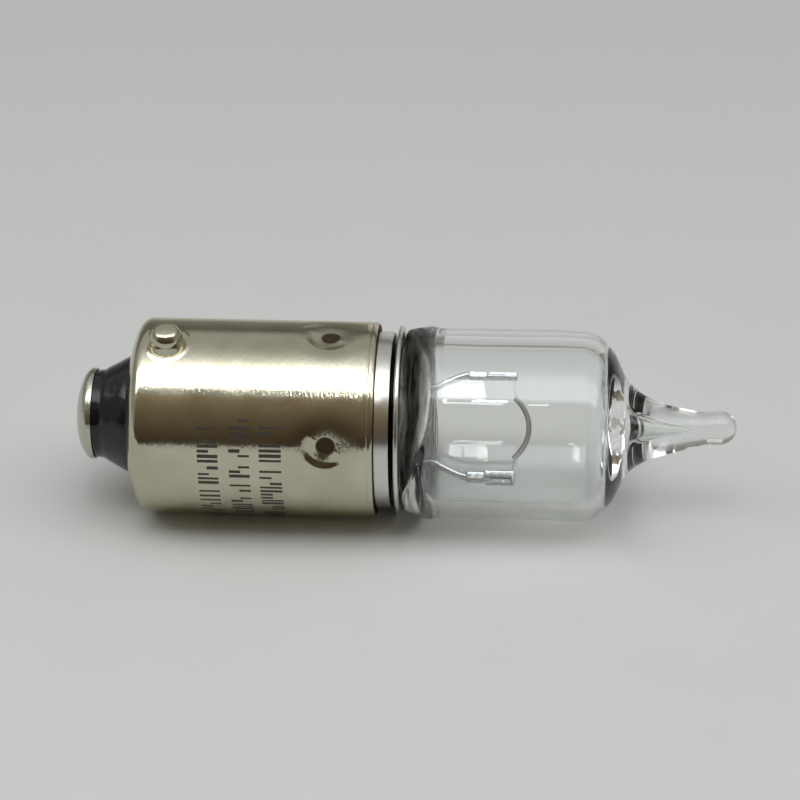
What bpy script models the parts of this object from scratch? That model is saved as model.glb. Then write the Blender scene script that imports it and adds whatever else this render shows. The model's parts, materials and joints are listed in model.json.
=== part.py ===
"""A miniature halogen headlight position lamp on a 9 mm bayonet cap, as separate pieces.

The lamp lies along +X: the contact is at the -X end and the exhaust tip at the +X end.
The origin is on the lamp axis in the plane of the two bayonet pins, and +Z is up.
Angles round the lamp axis are counted from +Y towards +Z.
"""

from math import atan2, cos, hypot, pi, radians, sin

import bmesh
import bpy
from mathutils import Matrix, Vector

MM = 0.001
GAP = 0.03  # clearance between two pieces that touch on the real lamp

# Cap shell: drawn brass sheet, open towards the glass
SHELL_RADIUS = 4.6
SHELL_WALL = 0.4
SHELL_BACK = -1.95
SHELL_RIM = 9.7
SHELL_CORNER = 0.85
SHELL_MOUTH_RADIUS = 2.85
RIM_ROUND = 0.1

# Bayonet pins: riveted through the shell, 150 degrees apart
PIN_RADIUS = 0.78
PIN_END = 5.45
PIN_EDGE_ROUND = 0.2
PIN_ANGLES = {"bayonet_pin_upper": 103.0, "bayonet_pin_rear": -47.0}
PIN_HEAD_RADIUS = 1.1
PIN_HEAD = (3.7, 4.0)
PIN_LAND_RADIUS = 1.2
PIN_LAND_DEPTH = 0.055

# Staking points that lock the holder sleeve in the shell
STAKE_X = SHELL_RIM - 2.15
STAKE_ANGLES = (91.5, 166.5, 271.5, 346.5)
STAKE_RADIUS = 0.45
STAKE_DEPTH = 0.22

# Insulator: black glass that closes the shell and carries the contact
NOSE_END = -3.87
NOSE_RADIUS = 2.1
CONE_START = -3.2
CONE_START_RADIUS = 2.2
INSULATOR_BORE = 0.5
INSULATOR_INNER_END = 0.8
INSULATOR_BOSS_RADIUS = 2.9
INSULATOR_FLANGE_RADIUS = 3.65
INSULATOR_FLANGE_END = -1.1

# Centre contact: a brass eyelet plate under a dome of solder
PLATE_RADIUS = 2.0
PLATE_THICKNESS = 0.2
EYELET_RADIUS = 0.46
EYELET_BORE = 0.33
EYELET_END = -2.9
DOME_RADIUS = 1.93
DOME_END = -4.58
DOME_FLAT_RADIUS = 0.3
DOME_BORE = 0.24
DOME_BORE_END = -4.4

# Holder: a sleeve staked in the shell, and a flanged collar that grips the pinch
SLEEVE_RADIUS = 4.16
SLEEVE_WALL = 0.24
SLEEVE = (4.8, 10.45)
FLANGE = (10.62, 10.87)
FLANGE_RADIUS = 4.46
COLLAR_RADIUS = 3.88
COLLAR_BORE = 3.66
COLLAR_END = 8.2
TONGUE_WIDTH = 1.7
TONGUE_THICKNESS = 0.22
TONGUE_START = 8.3
TONGUE_START_RADIUS = 3.68
TONGUE_END = 6.7
TONGUE_CLEARANCE = 0.05

# Glass envelope: tube with a domed end, a drawn exhaust tip and a pinch seal
GLASS_RADIUS = 4.48
GLASS_WALL = 0.76
PINCH = (6.0, 11.6)
PINCH_WIDTH = 6.6
PINCH_THICKNESS = 2.4
PINCH_EDGE_ROUND = 0.35
TIP_PROFILE = (
    (26.5, 0.0), (26.38, 0.42), (26.1, 0.72), (25.7, 0.84), (25.1, 0.79), (24.6, 0.87),
    (23.7, 1.08), (22.75, 1.34), (22.1, 1.58), (21.6, 1.95), (21.15, 2.65), (20.75, 3.4),
    (20.3, 3.93), (19.8, 4.3), (19.1, GLASS_RADIUS),
)
SHOULDER_PROFILE = (
    (13.2, GLASS_RADIUS), (12.3, 4.4), (11.6, 4.2), (11.15, 3.9), (10.9, 3.5), (10.6, 3.2),
)
CAVITY_PROFILE = (
    (24.3, 0.0), (23.9, 0.12), (22.9, 0.34), (22.0, 0.68), (21.3, 1.15), (20.8, 1.85),
    (20.4, 2.7), (20.0, 3.25), (19.5, 3.6), (18.9, GLASS_RADIUS - GLASS_WALL),
    (14.2, GLASS_RADIUS - GLASS_WALL), (13.4, 3.62), (12.75, 3.25), (12.3, 2.6), (12.1, 1.5),
    (12.0, 0.0),
)

# Filament mount, in a plane square to the rear pin; positive radius is the upper side
MOUNT_ANGLE = PIN_ANGLES["bayonet_pin_rear"] + 90
MOUNT_SHIFT = -0.17
LEAD_RADIUS = 0.16
LEAD_SPACING = 1.85
LEAD_OUTER_END = 5.5
CLAMP_OFFSET = 2.5
CLAMP = (13.9, 16.2)
CLAMP_STEP = 14.78
CLAMP_HEIGHT = 0.66
CLAMP_STEP_HEIGHT = 0.52
CLAMP_THICKNESS = 0.46
CLAMP_ROUND = 0.06
LEAD_INNER_END = 15.0

# Filament: a tungsten coil bowed towards the tip, with a straight leg at each end
COIL_APEX = 16.8
COIL_BOW_RADIUS = 1.9
COIL_HALF_ANGLE = 51.0
COIL_TURNS = 24
COIL_POINTS_PER_TURN = 7
COIL_RADIUS = 0.1
FILAMENT_WIRE_RADIUS = 0.027
COIL_SHIFT = -0.1
LEG_END = 15.75
LEG_CHANNEL = 0.05

# Outer leads: nickel wires from the pinch to the contact and to the holder sleeve
OUTER_LEAD_RADIUS = 0.2

TURN_STEPS = 48
FINE_TURN_STEPS = 40
SMALL_TURN_STEPS = 28


def arc(x, r, radius, start, end, steps):
    """Points on a circle about (x, r), from one angle to another, in degrees from +x towards +r."""
    angles = [radians(start + (end - start) * i / steps) for i in range(steps + 1)]
    return [(x + radius * cos(a), r + radius * sin(a)) for a in angles]


def smooth(points, per_span):
    """A Catmull-Rom curve through the points, with chord-length tangents."""
    steps = []
    ends = [points[0], *points, points[-1]]
    for before, a, b, after in zip(ends, ends[1:], ends[2:], ends[3:]):
        span = hypot(b[0] - a[0], b[1] - a[1])
        reach_a = max(hypot(b[0] - before[0], b[1] - before[1]), span)
        reach_b = max(hypot(after[0] - a[0], after[1] - a[1]), span)
        tangent_a = [(b[k] - before[k]) * span / reach_a for k in (0, 1)]
        tangent_b = [(after[k] - a[k]) * span / reach_b for k in (0, 1)]
        for i in range(per_span):
            t = i / per_span
            weights = (2 * t**3 - 3 * t**2 + 1, t**3 - 2 * t**2 + t, 3 * t**2 - 2 * t**3, t**3 - t**2)
            steps.append(tuple(
                weights[0] * a[k] + weights[1] * tangent_a[k] + weights[2] * b[k]
                + weights[3] * tangent_b[k] for k in (0, 1)
            ))
    return [*steps, points[-1]]


def radial(x, radius, angle):
    """The point at a radius and an angle round the lamp axis, in metres."""
    turn = radians(angle)
    return Vector((x, radius * cos(turn), radius * sin(turn))) * MM


def in_mount_plane(x, radius, across=0.0):
    """A point of the filament mount's plane, with the mount's own shift, in metres."""
    return radial(x, radius + MOUNT_SHIFT, MOUNT_ANGLE) + radial(0, across, MOUNT_ANGLE - 90)


def clear_scene():
    for obj in list(bpy.data.objects):
        bpy.data.objects.remove(obj)
    lamp = bpy.data.collections.new("halogen_bayonet_lamp")
    cutters = bpy.data.collections.new("cutters")
    for collection in (lamp, cutters):
        bpy.context.scene.collection.children.link(collection)
    return lamp, cutters


def material(name, colour, roughness, metallic, transmission=0.0):
    made = bpy.data.materials.new(name)
    made.use_nodes = True
    shader = made.node_tree.nodes["Principled BSDF"]
    shader.inputs["Base Color"].default_value = (*colour, 1.0)
    shader.inputs["Roughness"].default_value = roughness
    shader.inputs["Metallic"].default_value = metallic
    shader.inputs["Transmission Weight"].default_value = transmission
    return made


def add_object(name, data, finish=None, collection=None):
    obj = bpy.data.objects.new(name, data)
    (collection or LAMP).objects.link(obj)
    if finish:
        data.materials.append(finish)
    return obj


def turned(name, profile, finish, steps=TURN_STEPS):
    """A shape turned about its local Z from (height, radius) points in mm, top to bottom outside."""
    mesh = bpy.data.meshes.new(name)
    on_axis = profile[0][1] == 0 and profile[-1][1] == 0
    count = len(profile)
    edges = [(i, i + 1) for i in range(count - 1)] + ([] if on_axis else [(count - 1, 0)])
    mesh.from_pydata([(r * MM, 0, h * MM) for h, r in profile], edges, [])
    obj = add_object(name, mesh, finish)
    screw = obj.modifiers.new("turn", "SCREW")
    screw.steps = steps
    screw.render_steps = steps
    screw.use_merge_vertices = True
    screw.merge_threshold = 1e-6
    screw.use_smooth_shade = True
    return obj


def lay_along_lamp(obj):
    """Turns a piece so that its local Z is the lamp axis."""
    obj.rotation_euler = (0, pi / 2, 0)
    return obj


def point_outwards(obj, x, angle):
    """Turns a piece so that its local Z points away from the lamp axis at that angle."""
    obj.location = (x * MM, 0, 0)
    obj.rotation_euler = (radians(angle) - pi / 2, 0, 0)
    return obj


def rod_cutter(name, start, end, radius, end_radius=None, sides=20):
    """A hidden cylinder or cone between two points, for cutting a bore."""
    axis = end - start
    mesh = bpy.data.meshes.new(name)
    shape = bmesh.new()
    bmesh.ops.create_cone(
        shape, cap_ends=True, segments=sides, radius1=radius * MM,
        radius2=(radius if end_radius is None else end_radius) * MM, depth=axis.length,
    )
    shape.to_mesh(mesh)
    shape.free()
    obj = add_object(name, mesh, collection=CUTTERS)
    turn = axis.to_track_quat("Z", "Y").to_matrix().to_4x4()
    obj.matrix_world = Matrix.Translation((start + end) / 2) @ turn
    obj.hide_render = True
    obj.display_type = "WIRE"
    return obj


def combine(obj, other, operation="DIFFERENCE"):
    boolean = obj.modifiers.new(other.name, "BOOLEAN")
    boolean.operation = operation
    boolean.solver = "EXACT"
    boolean.object = other


def block(name, low, high, round_edges, finish=None):
    """A box from corner to corner in mm, in the mount plane's frame: lamp axis, radius, across."""
    mesh = bpy.data.meshes.new(name)
    shape = bmesh.new()
    bmesh.ops.create_cube(shape, size=1)
    size = [h - l for l, h in zip(low, high)]
    middle = [(h + l) / 2 for l, h in zip(low, high)]
    bmesh.ops.scale(shape, vec=[s * MM for s in size], verts=shape.verts)
    if round_edges:
        bmesh.ops.bevel(
            shape, geom=shape.edges, offset=round_edges * MM, segments=2, profile=0.5, affect="EDGES",
        )
    shape.to_mesh(mesh)
    shape.free()
    obj = add_object(name, mesh, finish)
    obj.rotation_euler = (radians(MOUNT_ANGLE), 0, 0)
    obj.location = radial(middle[0], middle[1], MOUNT_ANGLE) + radial(0, middle[2], MOUNT_ANGLE + 90)
    return obj


def as_cutter(obj):
    """Moves a helper shape from the lamp's collection to the cutters."""
    LAMP.objects.unlink(obj)
    CUTTERS.objects.link(obj)
    obj.hide_render = True
    obj.display_type = "WIRE"
    return obj


def wire(name, points, radius, finish, sides_level=2):
    """A round wire through the points, with filled ends."""
    curve = bpy.data.curves.new(name, "CURVE")
    curve.dimensions = "3D"
    curve.bevel_depth = radius * MM
    curve.bevel_resolution = sides_level
    curve.use_fill_caps = True
    spline = curve.splines.new("POLY")
    spline.points.add(len(points) - 1)
    for target, point in zip(spline.points, points):
        target.co = (*point, 1.0)
    return add_object(name, curve, finish)


def mount_wire(name, route, radius, finish, side=1):
    """A wire along a smooth route of (lamp axis, radius) points in the mount plane."""
    points = [in_mount_plane(x, side * r) for x, r in smooth(route, 3)]
    return wire(name, points, radius, finish)


# ---------------------------------------------------------------- cap

def cap_shell(finish):
    outer = [(SHELL_RIM, SHELL_RADIUS - RIM_ROUND), (SHELL_RIM - RIM_ROUND, SHELL_RADIUS)]
    outer += arc(SHELL_BACK + SHELL_CORNER, SHELL_RADIUS - SHELL_CORNER, SHELL_CORNER, 90, 180, 6)
    inner_back = SHELL_BACK + SHELL_WALL
    inner_corner = SHELL_CORNER - SHELL_WALL
    inner_radius = SHELL_RADIUS - SHELL_WALL
    mouth = [(SHELL_BACK, SHELL_MOUTH_RADIUS), (inner_back, SHELL_MOUTH_RADIUS)]
    inner = arc(inner_back + inner_corner, inner_radius - inner_corner, inner_corner, 180, 90, 3)
    shell = lay_along_lamp(turned("cap_shell", [*outer, *mouth, *inner, (SHELL_RIM, inner_radius)], finish))
    for name, angle in PIN_ANGLES.items():
        land = radial(0, SHELL_RADIUS - PIN_LAND_DEPTH, angle)
        combine(shell, rod_cutter(name + "_land", land, radial(0, SHELL_RADIUS + 1, angle), PIN_LAND_RADIUS))
        hole = rod_cutter(name + "_hole", radial(0, 3, angle), radial(0, 6, angle), PIN_RADIUS + GAP)
        combine(shell, hole)
    for number, angle in enumerate(STAKE_ANGLES, 1):
        floor = radial(STAKE_X, SHELL_RADIUS - STAKE_DEPTH, angle)
        above = radial(STAKE_X, SHELL_RADIUS + STAKE_DEPTH, angle)
        combine(shell, rod_cutter(f"stake_{number}", floor, above, STAKE_RADIUS * 0.8, STAKE_RADIUS * 1.2, 16))
    return shell


def bayonet_pin(name, angle, finish):
    top = arc(PIN_END - PIN_EDGE_ROUND, PIN_RADIUS - PIN_EDGE_ROUND, PIN_EDGE_ROUND, 0, 90, 3)
    profile = [
        (PIN_END, 0), *top, (PIN_HEAD[1], PIN_RADIUS), (PIN_HEAD[1], PIN_HEAD_RADIUS),
        (PIN_HEAD[0], PIN_HEAD_RADIUS), (PIN_HEAD[0], 0),
    ]
    return point_outwards(turned(name, profile, finish, SMALL_TURN_STEPS), 0, angle)


def insulator(finish):
    shell_inside = SHELL_BACK + SHELL_WALL + GAP
    neck = SHELL_MOUTH_RADIUS - GAP
    return lay_along_lamp(turned("insulator", [
        (INSULATOR_INNER_END, INSULATOR_BORE), (INSULATOR_INNER_END, INSULATOR_BOSS_RADIUS),
        (INSULATOR_FLANGE_END, INSULATOR_BOSS_RADIUS), (INSULATOR_FLANGE_END, INSULATOR_FLANGE_RADIUS),
        (shell_inside, INSULATOR_FLANGE_RADIUS), (shell_inside, neck), (SHELL_BACK, neck),
        (CONE_START, CONE_START_RADIUS), (NOSE_END + 0.08, NOSE_RADIUS), (NOSE_END, NOSE_RADIUS - 0.08),
        (NOSE_END, INSULATOR_BORE),
    ], finish, FINE_TURN_STEPS))


def contact_plate(finish):
    seat = NOSE_END - GAP
    return lay_along_lamp(turned("contact_plate", [
        (EYELET_END, EYELET_BORE), (EYELET_END, EYELET_RADIUS), (seat, EYELET_RADIUS),
        (seat, PLATE_RADIUS), (seat - PLATE_THICKNESS, PLATE_RADIUS),
        (seat - PLATE_THICKNESS, EYELET_BORE),
    ], finish, SMALL_TURN_STEPS))


def contact_solder(finish):
    seat = NOSE_END - PLATE_THICKNESS - 2 * GAP
    height = seat - DOME_END
    rise = DOME_RADIUS - DOME_FLAT_RADIUS
    ball = (rise**2 + height**2) / (2 * height)
    sweep = 90 - atan2(ball - height, rise) * 180 / pi
    dome = arc(DOME_END + ball, DOME_FLAT_RADIUS, ball, 180 - sweep, 180, 6)
    profile = [(DOME_BORE_END, 0), (DOME_BORE_END, DOME_BORE), (seat, DOME_BORE)]
    return lay_along_lamp(turned("contact_solder", [*profile, *dome, (DOME_END, 0)], finish, SMALL_TURN_STEPS))


# ---------------------------------------------------------------- holder

def holder_sleeve(finish):
    inner = SLEEVE_RADIUS - SLEEVE_WALL
    return lay_along_lamp(turned("holder_sleeve", [
        (SLEEVE[1], inner), (SLEEVE[1], SLEEVE_RADIUS), (SLEEVE[0], SLEEVE_RADIUS), (SLEEVE[0], inner),
    ], finish))


def holder_flange(finish):
    """Flange and collar in one pressing, with two spring tongues bent in onto the pinch."""
    ring = lay_along_lamp(turned("holder_flange", [
        (FLANGE[1], COLLAR_BORE), (FLANGE[1], FLANGE_RADIUS), (FLANGE[0], FLANGE_RADIUS),
        (FLANGE[0], COLLAR_RADIUS), (COLLAR_END, COLLAR_RADIUS), (COLLAR_END, COLLAR_BORE),
    ], finish))
    foot = PINCH_THICKNESS / 2 + TONGUE_CLEARANCE + TONGUE_THICKNESS / 2
    for name, side in (("front", 90), ("rear", -90)):
        low = radial(TONGUE_END, foot, MOUNT_ANGLE + side)
        high = radial(TONGUE_START, TONGUE_START_RADIUS, MOUNT_ANGLE + side)
        along = high - low
        shape = bmesh.new()
        bmesh.ops.create_cube(shape, size=1)
        size = (TONGUE_THICKNESS * MM, TONGUE_WIDTH * MM, along.length)
        bmesh.ops.scale(shape, vec=size, verts=shape.verts)
        mesh = bpy.data.meshes.new("tongue_" + name)
        shape.to_mesh(mesh)
        shape.free()
        tongue = as_cutter(add_object("tongue_" + name, mesh))
        length = along.normalized()
        width = radial(0, 1, MOUNT_ANGLE).normalized()
        facing = Matrix((width.cross(length), width, length)).transposed().to_4x4()
        tongue.matrix_world = Matrix.Translation((low + high) / 2) @ facing
        combine(ring, tongue, "UNION")
    return ring


# ---------------------------------------------------------------- burner

def glass_envelope(finish):
    outer = [*smooth(TIP_PROFILE, 2), *smooth(SHOULDER_PROFILE, 2), (SHOULDER_PROFILE[-1][0], 0)]
    glass = lay_along_lamp(turned("glass_envelope", outer, finish, FINE_TURN_STEPS))
    pinch = as_cutter(block(
        "pinch", (PINCH[0], -PINCH_WIDTH / 2, -PINCH_THICKNESS / 2),
        (PINCH[1], PINCH_WIDTH / 2, PINCH_THICKNESS / 2), PINCH_EDGE_ROUND,
    ))
    combine(glass, pinch, "UNION")
    cavity = as_cutter(lay_along_lamp(turned("cavity", CAVITY_PROFILE, None, FINE_TURN_STEPS)))
    combine(glass, cavity)
    for name, side in (("upper", 1), ("lower", -1)):
        start = in_mount_plane(PINCH[0] - 1, side * LEAD_SPACING)
        end = in_mount_plane(CAVITY_PROFILE[-1][0] + 0.5, side * LEAD_SPACING)
        combine(glass, rod_cutter(f"lead_channel_{name}", start, end, LEAD_RADIUS + GAP, sides=12))
    return glass


def lead_wire(name, side, finish):
    route = [
        (LEAD_OUTER_END, LEAD_SPACING), (8.5, LEAD_SPACING), (12.0, LEAD_SPACING), (12.5, LEAD_SPACING + 0.08),
        (13.7, CLAMP_OFFSET - 0.05), (14.1, CLAMP_OFFSET), (LEAD_INNER_END, CLAMP_OFFSET),
    ]
    return mount_wire(name, route, LEAD_RADIUS, finish, side)


def filament_clamp(name, side, finish):
    """A folded tab with a lower step where it grips the lead wire."""
    centre = side * CLAMP_OFFSET + MOUNT_SHIFT
    half_thickness = CLAMP_THICKNESS / 2
    clamp = block(
        name, (CLAMP_STEP, centre - CLAMP_HEIGHT / 2, -half_thickness),
        (CLAMP[1], centre + CLAMP_HEIGHT / 2, half_thickness), CLAMP_ROUND, finish,
    )
    step = as_cutter(block(
        name + "_step", (CLAMP[0], centre - CLAMP_STEP_HEIGHT / 2, -half_thickness + 0.04),
        (CLAMP_STEP + 0.2, centre + CLAMP_STEP_HEIGHT / 2, half_thickness - 0.04), CLAMP_ROUND,
    ))
    combine(clamp, step, "UNION")
    start = in_mount_plane(CLAMP[0] - 0.5, side * CLAMP_OFFSET)
    end = in_mount_plane(LEAD_INNER_END + GAP, side * CLAMP_OFFSET)
    combine(clamp, rod_cutter(name + "_wire_hole", start, end, LEAD_RADIUS + GAP, sides=12))
    inner_edge = side * (CLAMP_OFFSET - CLAMP_HEIGHT)
    leg_hole = rod_cutter(
        name + "_leg_hole", in_mount_plane(LEG_END, inner_edge),
        in_mount_plane(LEG_END, side * CLAMP_OFFSET), FILAMENT_WIRE_RADIUS + LEG_CHANNEL, sides=10,
    )
    combine(clamp, leg_hole)
    return clamp


def filament_route():
    """Leg, coil wound round the bow, and leg, as points in metres."""
    centre = COIL_APEX - COIL_BOW_RADIUS
    count = COIL_TURNS * COIL_POINTS_PER_TURN
    coil = []
    for i in range(count + 1):
        bow = radians(COIL_HALF_ANGLE * (1 - 2 * i / count))
        turn = 2 * pi * i / COIL_POINTS_PER_TURN
        reach = COIL_BOW_RADIUS + COIL_RADIUS * cos(turn)
        x, r = centre + reach * cos(bow), COIL_SHIFT + reach * sin(bow)
        coil.append(in_mount_plane(x, r, COIL_RADIUS * sin(turn)))
    edge = CLAMP_OFFSET - CLAMP_HEIGHT / 2
    legs = [
        [in_mount_plane(LEG_END, side * (CLAMP_OFFSET - 0.15)), in_mount_plane(LEG_END, side * (edge - 0.12))]
        for side in (1, -1)
    ]
    return [*legs[0], *coil, *reversed(legs[1])]


def outer_leads(finish):
    weld = LEAD_OUTER_END - GAP
    straight = -MOUNT_SHIFT
    to_contact = [
        (weld, LEAD_SPACING), (4.5, LEAD_SPACING - 0.1), (2.9, 1.0), (1.7, straight + 0.1),
        (0.9, straight), (-2.0, straight), (DOME_BORE_END + GAP, straight),
    ]
    along_sleeve = SLEEVE_RADIUS - SLEEVE_WALL - OUTER_LEAD_RADIUS - GAP + MOUNT_SHIFT
    to_sleeve = [
        (weld, LEAD_SPACING), (4.7, LEAD_SPACING + 0.05), (4.2, 2.4), (4.3, 3.05),
        (4.95, along_sleeve - 0.06), (5.7, along_sleeve), (6.8, along_sleeve),
    ]
    mount_wire("outer_lead_contact", to_contact, OUTER_LEAD_RADIUS, finish)
    mount_wire("outer_lead_shell", to_sleeve, OUTER_LEAD_RADIUS, finish, -1)


LAMP, CUTTERS = clear_scene()
nickel = material("nickel_plated_brass", (0.66, 0.63, 0.56), 0.28, 1.0)
steel = material("stainless_steel", (0.62, 0.60, 0.57), 0.25, 1.0)
black_glass = material("black_insulating_glass", (0.012, 0.012, 0.014), 0.25, 0.0)
solder = material("tin_solder", (0.68, 0.67, 0.62), 0.3, 1.0)
clear_glass = material("clear_glass", (1.0, 1.0, 1.0), 0.0, 0.0, 1.0)
molybdenum = material("molybdenum", (0.55, 0.56, 0.58), 0.3, 1.0)
tungsten = material("tungsten", (0.3, 0.3, 0.31), 0.4, 1.0)

cap_shell(nickel)
for pin_name, pin_angle in PIN_ANGLES.items():
    bayonet_pin(pin_name, pin_angle, nickel)
insulator(black_glass)
contact_plate(nickel)
contact_solder(solder)
holder_sleeve(steel)
holder_flange(steel)
glass_envelope(clear_glass)
for lead_side, side_name in ((1, "upper"), (-1, "lower")):
    lead_wire("lead_wire_" + side_name, lead_side, molybdenum)
    filament_clamp("filament_clamp_" + side_name, lead_side, molybdenum)
outer_leads(nickel)
wire("filament", filament_route(), FILAMENT_WIRE_RADIUS, tungsten, 2)
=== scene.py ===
import json

import bpy
import numpy as np
from mathutils import Matrix, Vector


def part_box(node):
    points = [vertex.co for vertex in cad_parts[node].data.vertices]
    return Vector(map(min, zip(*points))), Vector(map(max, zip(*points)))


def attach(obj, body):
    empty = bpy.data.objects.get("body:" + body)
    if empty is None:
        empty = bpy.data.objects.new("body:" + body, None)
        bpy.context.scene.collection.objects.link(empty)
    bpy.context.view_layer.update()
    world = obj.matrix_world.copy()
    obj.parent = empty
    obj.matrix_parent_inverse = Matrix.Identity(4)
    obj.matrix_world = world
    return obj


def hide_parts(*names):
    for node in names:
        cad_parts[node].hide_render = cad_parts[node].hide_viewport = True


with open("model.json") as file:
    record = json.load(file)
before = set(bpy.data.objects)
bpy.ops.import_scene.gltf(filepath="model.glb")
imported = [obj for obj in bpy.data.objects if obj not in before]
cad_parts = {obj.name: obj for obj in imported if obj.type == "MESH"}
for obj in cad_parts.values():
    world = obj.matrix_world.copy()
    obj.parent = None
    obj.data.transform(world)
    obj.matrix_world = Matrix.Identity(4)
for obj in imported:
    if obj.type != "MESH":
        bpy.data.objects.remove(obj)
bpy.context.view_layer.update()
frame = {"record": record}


# Cap shell: a cup drawn from thin brass sheet and nickel plated. Its back is turned in round the
# insulator, its rim is rolled, each bayonet pin stands in a coined dish, and four round welds
# pull shallow dents in towards the holder sleeve.
MM = 0.001  # sizes are in mm, and angles in degrees
shell_back, shell_rim, shell_radius = (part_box("cap_shell")[i][k] / MM for i, k in ((0, 0), (1, 0), (1, 2)))
SHELL_WALL = 0.4
MOUTH_RADIUS = 2.86
CORNER_LENGTH = 1.1
DISH_RADIUS = 1.0
DISH_DEPTH = 0.05
DISH_LIP = 0.04
DISH_LIP_WIDTH = 0.1
DISH_FLOOR_EDGE = (DISH_RADIUS - 0.35, DISH_RADIUS - 0.1)
WELD_X = shell_rim - 2.15
WELD_ANGLES = (91.5, 166.5, 271.5, 346.5)
WELD_RADIUS = 0.44
WELD_DEPTH = 0.03
WELD_EDGE = (WELD_RADIUS - 0.12, WELD_RADIUS + 0.04)
BURN_EDGE = (WELD_RADIUS - 0.02, WELD_RADIUS + 0.05)
IMPRINT_EDGE = (0.82, 1.18)
IMPRINT_DEPTH = 0.05
IMPRINT_SLANT = 0.6
IMPRINT_SLANT_LENGTH = 1.17
DENT_RADIUS = 2.1
DENT_DEPTH = 0.2
DENT_POWER = 3
ANGLE_STEPS = (1.9, 0.42)
ANGLE_REACH = 13
LENGTH_STEPS = (0.17, 0.042)
LENGTH_REACH = 1.25
RIM_LENGTH = 0.37
pin_angles = [
    np.degrees(np.arctan2(mount["axis"][2], mount["axis"][1]))
    for mount in frame["record"]["mounts"] if mount["name"].endswith("pin_end")
]


def linear(code):
    """An sRGB hex colour as linear RGBA: c / 12.92 up to 0.04045, and above it ((c + 0.055) / 1.055) ^ 2.4."""
    c = np.array([int(code[i:i + 2], 16) / 255 for i in (1, 3, 5)])
    return (*np.where(c <= 0.04045, c / 12.92, ((c + 0.055) / 1.055) ** 2.4).tolist(), 1.0)


def add(material, kind, values=None, **settings):
    """Adds a node: settings are its own properties, and values are its sockets' numbers or links."""
    made = material.node_tree.nodes.new(kind)
    for name, value in settings.items():
        setattr(made, name, value)
    for socket, value in (values or {}).items():
        if isinstance(value, bpy.types.NodeSocket):
            material.node_tree.links.new(value, made.inputs[socket])
        else:
            made.inputs[socket].default_value = value
    return made


def new_material(name, values):
    """A material with its Principled shader's own sockets set, and the object coordinates to pattern it by."""
    material = bpy.data.materials.new(name)
    material.use_nodes = True
    shader = material.node_tree.nodes["Principled BSDF"]
    for socket, value in values.items():
        shader.inputs[socket].default_value = value
    place = add(material, "ShaderNodeTexCoord").outputs["Object"]
    return material, shader, place


def noise(material, place, size, detail):
    """A noise pattern's value, with features of about a given size in mm and finer layers over them."""
    values = {"Vector": place, "Scale": 1 / (size * MM), "Detail": detail}
    return add(material, "ShaderNodeTexNoise", values).outputs[0]


def stretched(material, place, scale):
    """The coordinates scaled on each axis: the smaller the scale, the longer a pattern is drawn out."""
    return add(material, "ShaderNodeMapping", {"Vector": place, "Scale": scale}).outputs[0]


def ranged(material, value, end=(0.0, 1.0), start=(0.0, 1.0)):
    """The value carried in a straight line from the start range to the end range, and held at its limits."""
    limits = {"From Min": start[0], "From Max": start[1], "To Min": end[0], "To Max": end[1]}
    return add(material, "ShaderNodeMapRange", {"Value": value, **limits}).outputs[0]


def blended(material, share, first, second):
    """The colour that runs from the first to the second while the share runs from 0 to 1."""
    return add(material, "ShaderNodeMix", {0: share, 6: first, 7: second}, data_type="RGBA").outputs[2]


def marked(material, attribute):
    """The value that a mesh's points carry under a name."""
    return add(material, "ShaderNodeAttribute", attribute_name=attribute).outputs["Fac"]


def product(material, first, second, plus=0.0):
    """The first value times the second, plus a third."""
    values = {0: first, 1: second, 2: plus}
    return add(material, "ShaderNodeMath", values, operation="MULTIPLY_ADD").outputs[0]


def dress(material, shader, colour=None, roughness=None, height=None, depth=0.0):
    """Links patterns to a shader: its colour, its roughness and a bump whose depth is given in mm."""
    bump = None
    if height is not None:
        bump = add(material, "ShaderNodeBump", {"Height": height, "Distance": depth * MM}).outputs[0]
    for socket, value in (("Base Color", colour), ("Roughness", roughness), ("Normal", bump)):
        if value is not None:
            material.node_tree.links.new(value, shader.inputs[socket])


def nickel_plated_brass():
    """Nickel plating on drawn brass: a pale metal with an olive cast. The plating has a fine grain drawn
    out round the cup, and handling leaves duller patches. The welds are browned, and the rim's cut end is
    painted dark as painted shade for the narrow gap between the rim and the sleeve."""
    values = {"Metallic": 1.0, "Specular Tint": linear("#fffaf0")}
    material, shader, place = new_material("nickel plated brass", values)
    grain = noise(material, stretched(material, place, (1, 0.35, 0.35)), 0.1, 2.0)
    patches = noise(material, place, 1.9, 5.0)
    weld_burn_and_shade = marked(material, "weld_burn_and_shade")
    tone = ranged(material, patches, start=(0.3, 0.7))
    plating = blended(material, tone, linear("#b9b5a0"), linear("#c9c6b2"))
    # This mark paints the plating dark brown: real browning at the welds, and painted shade on the rim's cut
    # end.
    colour = blended(material, weld_burn_and_shade, plating, linear("#4b3e33"))
    worn = ranged(material, patches, (0.1, 0.17), (0.35, 0.75))
    dress(material, shader, colour, product(material, weld_burn_and_shade, 0.5, worn), grain, 0.007)
    return material


def flowing(points, per_span):
    """A smooth curve through the points: on each span a cubic Hermite blend, whose end slopes are the
    chords between the neighbouring points, scaled to the span's own length."""
    p = np.asarray(points, float)
    before, after = np.vstack([p[:1], p[:-2]]), np.vstack([p[2:], p[-1:]])
    a, b = p[:-1], p[1:]
    span = np.linalg.norm(b - a, axis=1, keepdims=True)
    slope_a = (b - before) * span / np.maximum(np.linalg.norm(b - before, axis=1, keepdims=True), span)
    slope_b = (after - a) * span / np.maximum(np.linalg.norm(after - a, axis=1, keepdims=True), span)
    t = (np.arange(per_span) / per_span)[None, :, None]
    a, b, slope_a, slope_b = (v[:, None, :] for v in (a, b, slope_a, slope_b))
    curve = (2 * t**3 - 3 * t**2 + 1) * a + (t**3 - 2 * t**2 + t) * slope_a
    curve = curve + (3 * t**2 - 2 * t**3) * b + (t**3 - t**2) * slope_b
    return np.vstack([curve.reshape(-1, p.shape[1]), p[-1:]])


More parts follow.
